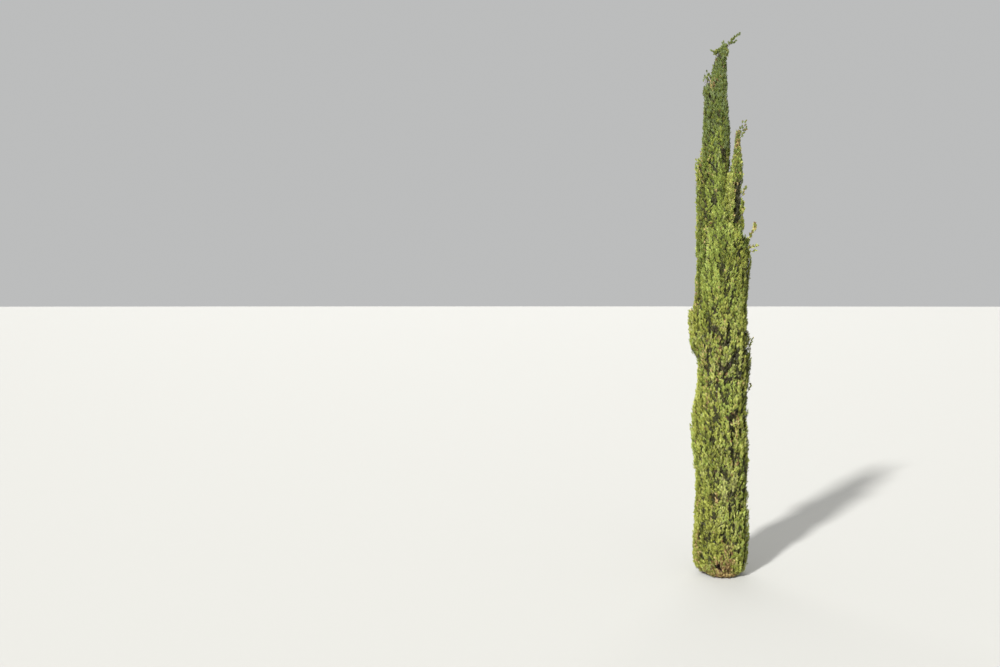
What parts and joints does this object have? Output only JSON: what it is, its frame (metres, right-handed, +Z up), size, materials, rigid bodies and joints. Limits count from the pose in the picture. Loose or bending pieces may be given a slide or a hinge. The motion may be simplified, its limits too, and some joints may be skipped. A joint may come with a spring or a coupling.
{
  "type": "pencil cypress tree",
  "caption": "Tall slender evergreen: one flared trunk, a second leader near the top, steep boughs and a dense narrow column of upright foliage plumes.",
  "frame": {"origin": "centre of the flat cut under the trunk, at ground level", "axes": "+Z up along the trunk, +X to the right as the picture sees the tree, +Y away from the viewer"},
  "size_m": [1.661, 1.5048, 12.9966],
  "materials": {
    "bark": "rough, grey-brown, furrowed lengthwise",
    "foliage": "matt, scaly green sprays, yellow-green to dark olive"
  },
  "bodies": {
    "root": {"bough_01": "bark", "bough_02": "bark", "bough_03": "bark", "bough_04": "bark", "bough_05": "bark", "bough_06": "bark", "bough_07": "bark", "bough_08": "bark", "bough_09": "bark", "bough_10": "bark", "bough_11": "bark", "bough_12": "bark", "bough_13": "bark", "bough_14": "bark", "bough_15": "bark", "bough_16": "bark", "bough_17": "bark", "bough_18": "bark", "bough_19": "bark", "bough_20": "bark", "bough_21": "bark", "bough_22": "bark", "bough_23": "bark", "bough_24": "bark", "bough_25": "bark", "leader_plume": "foliage", "plume_01": "foliage", "plume_02": "foliage", "plume_03": "foliage", "plume_04": "foliage", "plume_05": "foliage", "plume_06": "foliage", "plume_07": "foliage", "plume_08": "foliage", "plume_09": "foliage", "plume_10": "foliage", "plume_11": "foliage", "plume_12": "foliage", "plume_13": "foliage", "plume_14": "foliage", "plume_15": "foliage", "plume_16": "foliage", "plume_17": "foliage", "plume_18": "foliage", "plume_19": "foliage", "plume_20": "foliage", "plume_21": "foliage", "plume_22": "foliage", "plume_23": "foliage", "plume_24": "foliage", "plume_25": "foliage", "second_leader": "bark", "second_leader_plume": "foliage", "trunk": "bark"}
  },
  "joints": []
}
